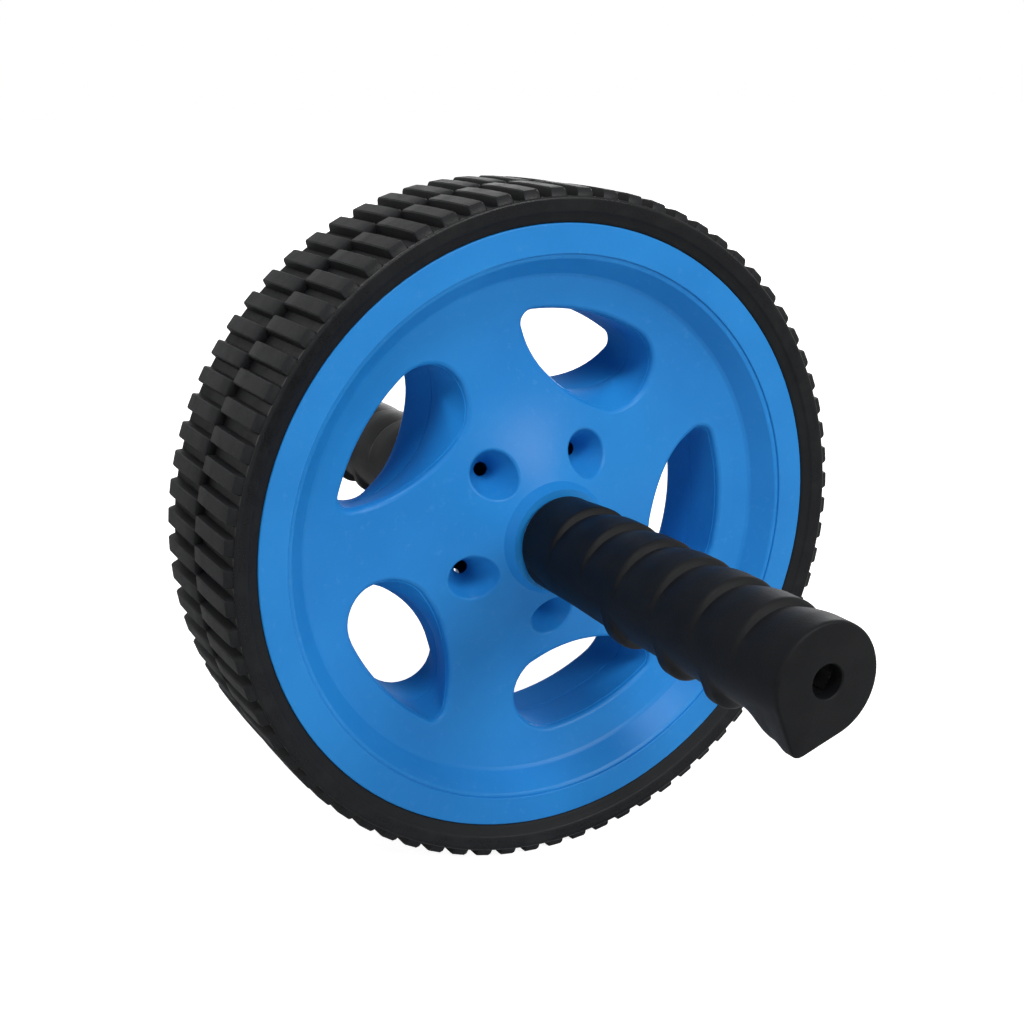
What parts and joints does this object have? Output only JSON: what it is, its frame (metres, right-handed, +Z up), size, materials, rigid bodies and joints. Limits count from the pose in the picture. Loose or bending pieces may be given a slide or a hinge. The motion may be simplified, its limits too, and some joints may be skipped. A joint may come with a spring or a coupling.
{
  "type": "ab wheel roller",
  "caption": "Exercise roller: a wide lugged tread on a dished moulded wheel with swirled spokes, spinning on an axle with a ribbed rubber grip at each end.",
  "frame": {"origin": "middle of the wheel, on the axle, and the middle of the object's box", "axes": "+Y along the axle away from the viewer of the picture, +Z up with the axle level, +X to the right seen from the front grip"},
  "size_m": [0.19, 0.2766, 0.19],
  "materials": {
    "wheel_plastic": "satin",
    "tread_rubber": "satin",
    "grip_rubber": "matte",
    "axle_steel": "satin",
    "bush_plastic": "matte"
  },
  "bodies": {
    "axle": {"axle_tube": "axle_steel", "rear_grip": "grip_rubber", "front_grip": "grip_rubber", "rear_thrust_washer": "axle_steel", "front_thrust_washer": "axle_steel", "rear_retaining_ring": "axle_steel", "front_retaining_ring": "axle_steel"},
    "wheel": {"rear_wheel_half": "wheel_plastic", "front_wheel_half": "wheel_plastic", "rear_tyre": "tread_rubber", "front_tyre": "tread_rubber", "rear_bush": "bush_plastic", "front_bush": "bush_plastic"}
  },
  "joints": [
    {"name": "wheel_spin", "type": "hinge", "parent": "axle", "child": "wheel", "pos_m": [0, 0, 0], "axis": [0, 1, 0], "continuous": true}
  ]
}
